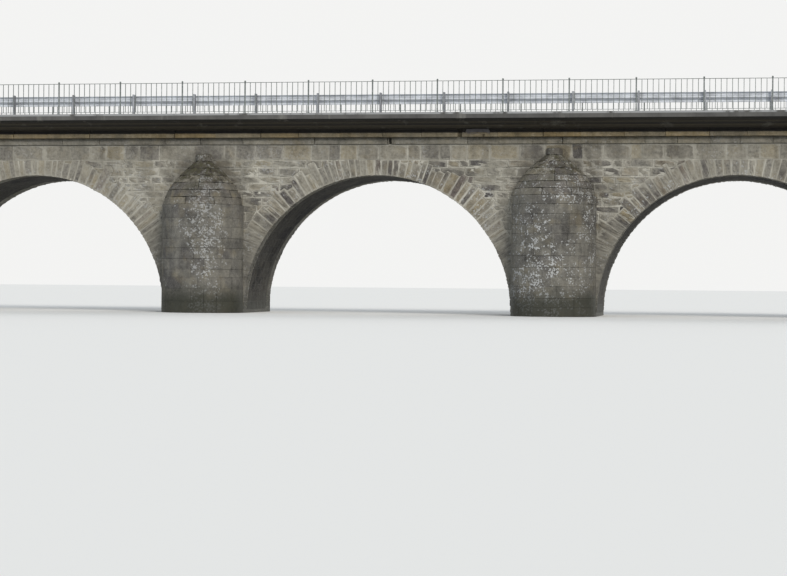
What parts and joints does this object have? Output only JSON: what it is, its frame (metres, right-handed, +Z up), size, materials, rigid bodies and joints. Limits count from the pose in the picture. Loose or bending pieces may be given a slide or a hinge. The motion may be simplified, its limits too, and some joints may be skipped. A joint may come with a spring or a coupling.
{
  "type": "stone arch bridge",
  "caption": "Multi-span masonry arch road bridge with rounded cutwaters, conical caps, string course, cornice, widened concrete deck, steel railings and a guardrail.",
  "frame": {"origin": "bottom centre of the bridge, on the level that the piers stand on, under the middle of the centre arch", "axes": "+X along the bridge to the right bank as pictured, +Y from the pictured face to the other face, +Z up"},
  "size_m": [36.2, 6.0996, 7.1796],
  "materials": {
    "pier_stone": "rough",
    "vault_stone": "rough",
    "ring_stone": "rough",
    "wall_stone": "rough",
    "rubble": "rough",
    "cutwater_stone": "rough",
    "cap_stone": "mossy",
    "string_stone": "weathered",
    "cornice_stone": "weathered",
    "deck_concrete": "board-marked concrete",
    "footway_concrete": "brushed concrete",
    "kerb_concrete": "cast concrete",
    "asphalt": "rough asphalt",
    "railing_steel": "weathered paint",
    "post_steel": "galvanised",
    "beam_steel": "galvanised"
  },
  "bodies": {
    "root": {"pier_left": "pier_stone", "pier_right": "pier_stone", "abutment_left": "pier_stone", "abutment_right": "pier_stone", "arch_barrel_left": "vault_stone", "arch_barrel_centre": "vault_stone", "arch_barrel_right": "vault_stone", "arch_ring_front_left": "ring_stone", "arch_ring_front_centre": "ring_stone", "arch_ring_front_right": "ring_stone", "arch_ring_back_left": "ring_stone", "arch_ring_back_centre": "ring_stone", "arch_ring_back_right": "ring_stone", "spandrel_wall_front": "wall_stone", "spandrel_wall_back": "wall_stone", "spandrel_fill": "rubble", "top_course_front": "wall_stone", "top_course_back": "wall_stone", "cutwater_front_left": "cutwater_stone", "cutwater_front_right": "cutwater_stone", "cutwater_back_left": "cutwater_stone", "cutwater_back_right": "cutwater_stone", "cutwater_cap_front_left": "cap_stone", "cutwater_cap_front_right": "cap_stone", "cutwater_cap_back_left": "cap_stone", "cutwater_cap_back_right": "cap_stone", "string_course_front": "string_stone", "string_course_back": "string_stone", "cornice_front": "cornice_stone", "cornice_back": "cornice_stone", "deck_slab": "deck_concrete", "footway": "footway_concrete", "kerb": "kerb_concrete", "roadway": "asphalt", "railing_posts_front": "railing_steel", "railing_posts_back": "railing_steel", "railing_panels_front": "railing_steel", "railing_panels_back": "railing_steel", "guardrail_posts": "post_steel", "guardrail_beam": "beam_steel"}
  },
  "joints": []
}
